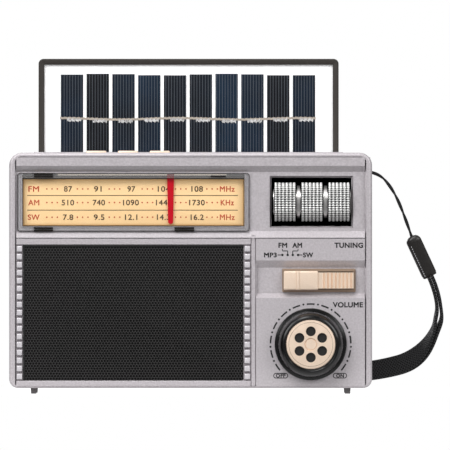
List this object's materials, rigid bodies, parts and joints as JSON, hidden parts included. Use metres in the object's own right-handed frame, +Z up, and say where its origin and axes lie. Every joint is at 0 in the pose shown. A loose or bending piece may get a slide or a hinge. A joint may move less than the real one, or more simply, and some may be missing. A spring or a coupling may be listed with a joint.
{
  "type": "shortwave receiver",
  "caption": "Portable multi-band radio with a folding solar panel, slide-rule dial, knurled tuning drum, band slider, volume knob, round-hole grille, telescopic aerial and wrist strap.",
  "frame": {"origin": "on the surface it stands on, below the middle of the cabinet, knob and raised panel", "axes": "+X to the right as the listener faces the dial, +Y from the dial to the back, +Z up"},
  "size_m": [0.2066, 0.0828, 0.1594],
  "materials": {
    "shell": "satin metallic silver-mauve ABS",
    "black_plastic": "matt black moulding",
    "gloss_black": "polished black ABS",
    "gold": "champagne-gold plated ABS",
    "plated": "vacuum-plated bright ABS",
    "clear": "clear moulded acrylic",
    "dial_face": "printed cream dial",
    "red": "translucent red acrylic",
    "grille": "black-painted perforated steel",
    "steel": "plain steel",
    "bright": "bright chrome",
    "magnet": "sintered ferrite",
    "paper": "black paper cone",
    "board": "green glass-epoxy board",
    "copper": "enamelled copper winding",
    "cell": "blue shrink wrap over a steel can",
    "panel_frame": "dark grey-brown ABS",
    "backsheet": "white backsheet",
    "silicon": "dark blue silicon",
    "strap": "black woven nylon",
    "cord": "black braided cord"
  },
  "bodies": {
    "cabinet": {"front_cabinet": "shell", "rear_cabinet": "shell", "feet": "shell", "dial_lens": "clear", "dial_plate": "dial_face", "pointer_rail": "steel", "drum_well": "black_plastic", "idler_axle": "steel", "dial_cord": "cord", "speaker_grille": "grille", "rib_strip_left": "plated", "rib_strip_right": "plated", "speaker_frame": "steel", "speaker_cone": "paper", "speaker_magnet": "magnet", "tuning_pot": "black_plastic", "volume_pot": "steel", "band_switch": "steel", "main_board": "board", "board_chips": "black_plastic", "button_board": "board", "tact_switches": "black_plastic", "socket_board": "board", "side_sockets": "steel", "ferrite_rod": "magnet", "ferrite_coil": "copper", "ferrite_clips": "black_plastic", "battery_tray": "black_plastic", "battery_cell": "cell", "battery_contacts": "steel", "cabinet_screws": "steel", "panel_hinge_pins": "steel", "aerial_pivot": "bright", "strap_pin": "steel", "strap_cord": "cord", "strap_keeper": "strap", "strap_webbing": "strap"},
    "solar_panel": {"panel_frame": "panel_frame", "panel_backsheet": "backsheet", "solar_cells": "silicon", "panel_cover": "clear"},
    "tuning_drum": {"tuning_drum": "plated", "drum_shaft": "steel"},
    "tuning_wheel": {"tuning_wheel": "black_plastic"},
    "pointer": {"pointer": "red"},
    "idler": {"idler_pulley": "black_plastic"},
    "volume_knob": {"volume_knob": "gloss_black", "knob_disc": "gold", "volume_shaft": "steel"},
    "band_slider": {"band_slider": "gold", "slider_shield": "black_plastic"},
    "button_1": {"top_button_1": "gold"},
    "button_2": {"top_button_2": "gold"},
    "button_3": {"top_button_3": "gold"},
    "battery_door": {"battery_door": "shell"},
    "aerial_base": {"aerial_knuckle": "bright", "aerial_tube_1": "bright"},
    "aerial_2": {"aerial_tube_2": "bright"},
    "aerial_3": {"aerial_tube_3": "bright"},
    "aerial_4": {"aerial_tube_4": "bright"}
  },
  "joints": [
    {"name": "panel_hinge", "type": "hinge", "parent": "cabinet", "child": "solar_panel", "pos_m": [-0.0011, 0.0305, 0.103], "axis": [-1, 0, 0], "range_deg": [0, 180]},
    {"name": "drum_turn", "type": "hinge", "parent": "cabinet", "child": "tuning_drum", "pos_m": [0.0575, -0.014, 0.091], "axis": [-1, 0, 0], "range_deg": [-964, 276.5]},
    {"name": "wheel_turn", "type": "hinge", "parent": "cabinet", "child": "tuning_wheel", "pos_m": [0.016, -0.009, 0.091], "axis": [0, 1, 0], "range_deg": [-193, 55.5]},
    {"name": "pointer_slide", "type": "slide", "parent": "cabinet", "child": "pointer", "axis": [1, 0, 0], "range_m": [-0.0505, 0.0145]},
    {"name": "idler_turn", "type": "hinge", "parent": "cabinet", "child": "idler", "pos_m": [-0.076, -0.0116, 0.102], "axis": [0, 1, 0], "range_deg": [-725, 208]},
    {"name": "volume_turn", "type": "hinge", "parent": "cabinet", "child": "volume_knob", "pos_m": [0.05675, -0.028, 0.02354], "axis": [0, 1, 0], "range_deg": [0, 280]},
    {"name": "band_slide", "type": "slide", "parent": "cabinet", "child": "band_slider", "axis": [1, 0, 0], "range_m": [-0.0072, 0]},
    {"name": "door_lift", "type": "slide", "parent": "cabinet", "child": "battery_door", "axis": [0, 1, 0], "range_m": [0, 0.03]},
    {"name": "aerial_swing", "type": "hinge", "parent": "cabinet", "child": "aerial_base", "pos_m": [-0.0814, 0.0301, 0.107], "axis": [0, 1, 0], "range_deg": [0, 180]},
    {"name": "aerial_pull_2", "type": "slide", "parent": "aerial_base", "child": "aerial_2", "axis": [0, 0, -1], "range_m": [0, 0.074]},
    {"name": "aerial_pull_3", "type": "slide", "parent": "aerial_2", "child": "aerial_3", "axis": [0, 0, -1], "range_m": [0, 0.074]},
    {"name": "aerial_pull_4", "type": "slide", "parent": "aerial_3", "child": "aerial_4", "axis": [0, 0, -1], "range_m": [0, 0.074]},
    {"name": "button_press_1", "type": "slide", "parent": "cabinet", "child": "button_1", "axis": [0, 0, -1], "range_m": [0, 0.0005], "stiffness_N_per_m": 600},
    {"name": "button_press_2", "type": "slide", "parent": "cabinet", "child": "button_2", "axis": [0, 0, -1], "range_m": [0, 0.0005], "stiffness_N_per_m": 600},
    {"name": "button_press_3", "type": "slide", "parent": "cabinet", "child": "button_3", "axis": [0, 0, -1], "range_m": [0, 0.0005], "stiffness_N_per_m": 600}
  ],
  "couplings": [
    {"joint": "wheel_turn", "follows": "drum_turn", "ratio": 0.2},
    {"joint": "pointer_slide", "follows": "drum_turn", "m_per_rad": 0.003},
    {"joint": "idler_turn", "follows": "drum_turn", "ratio": 0.75},
    {"joint": "aerial_pull_3", "follows": "aerial_pull_2", "ratio": 1},
    {"joint": "aerial_pull_4", "follows": "aerial_pull_2", "ratio": 1}
  ]
}
